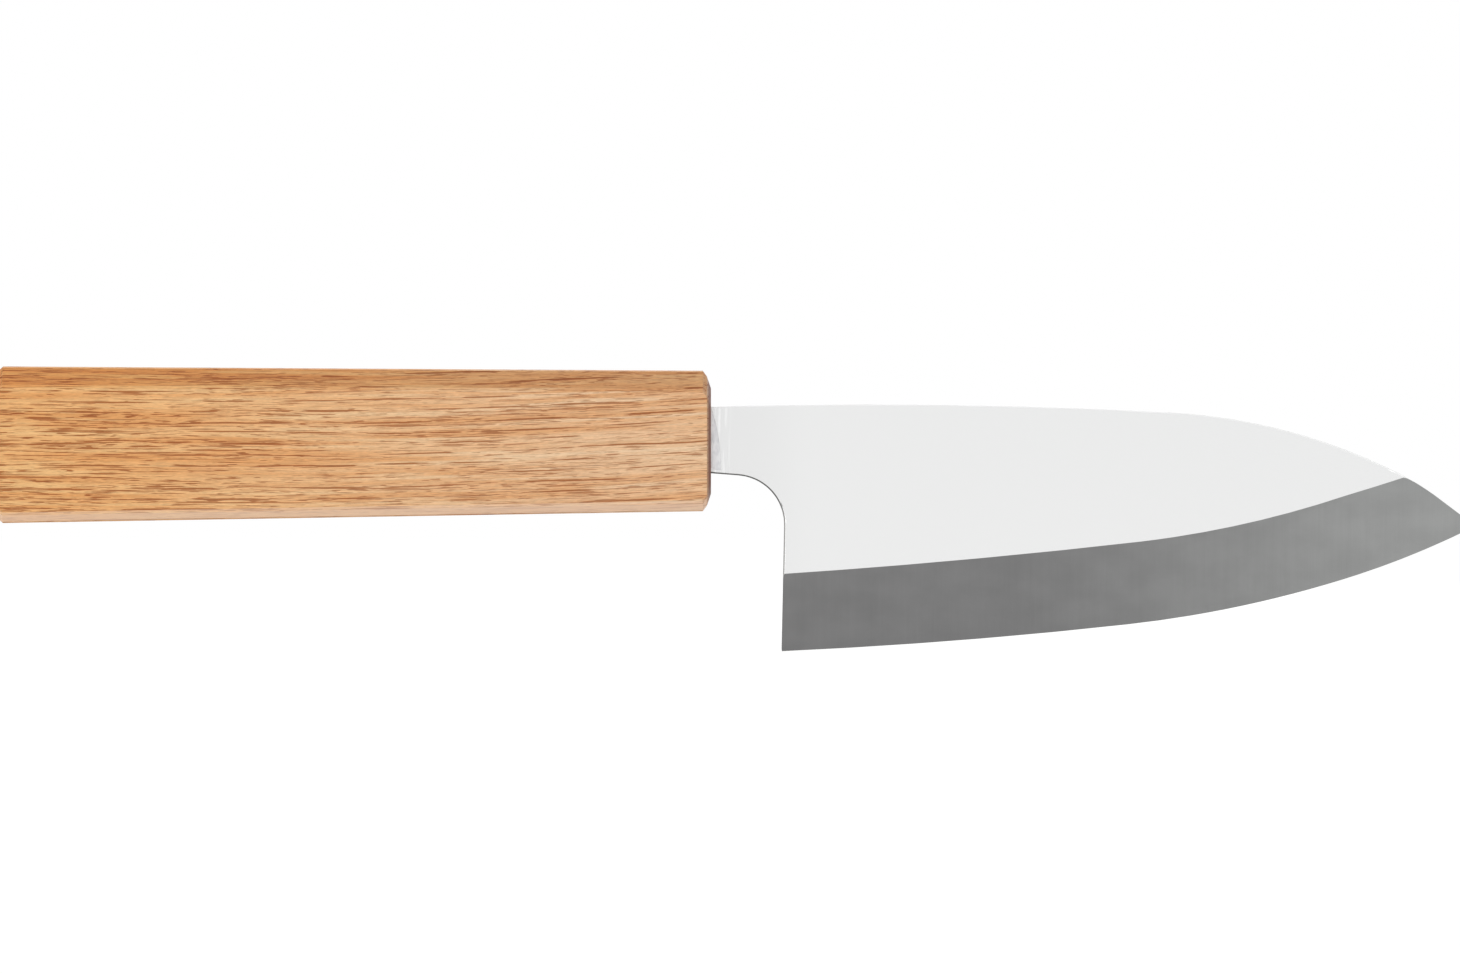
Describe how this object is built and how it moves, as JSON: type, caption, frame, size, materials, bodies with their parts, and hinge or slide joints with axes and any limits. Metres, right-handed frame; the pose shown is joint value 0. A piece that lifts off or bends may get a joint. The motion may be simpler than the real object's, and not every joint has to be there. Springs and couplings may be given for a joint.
{
  "type": "deba knife",
  "caption": "Single-bevel deba knife: thick steel blade with a hollow back, curved choil and hidden tang, in a plain tapered octagonal wooden handle.",
  "frame": {"origin": "bottom centre of the bounding box: under the middle of the knife's length, level with the heel corner, midway between the handle's side facets", "axes": "+X from butt to tip, +Z from edge to spine, +Y to the hollow-ground left side; the flat right side with the bevel faces -Y"},
  "size_m": [0.2562, 0.023, 0.0492],
  "materials": {
    "steel": "flat sides polished almost bright, bevel ground to a darker satin with fine lines from the ridge to the edge",
    "oak": "planed oak, thin clear oil, short dark pores along the grain",
    "resin": "set resin, hidden in the handle",
    "seal": "dark filler, level and matt"
  },
  "bodies": {
    "root": {"blade": "steel", "handle": "oak", "tang_adhesive": "resin", "mouth_seal": "seal"}
  },
  "joints": []
}
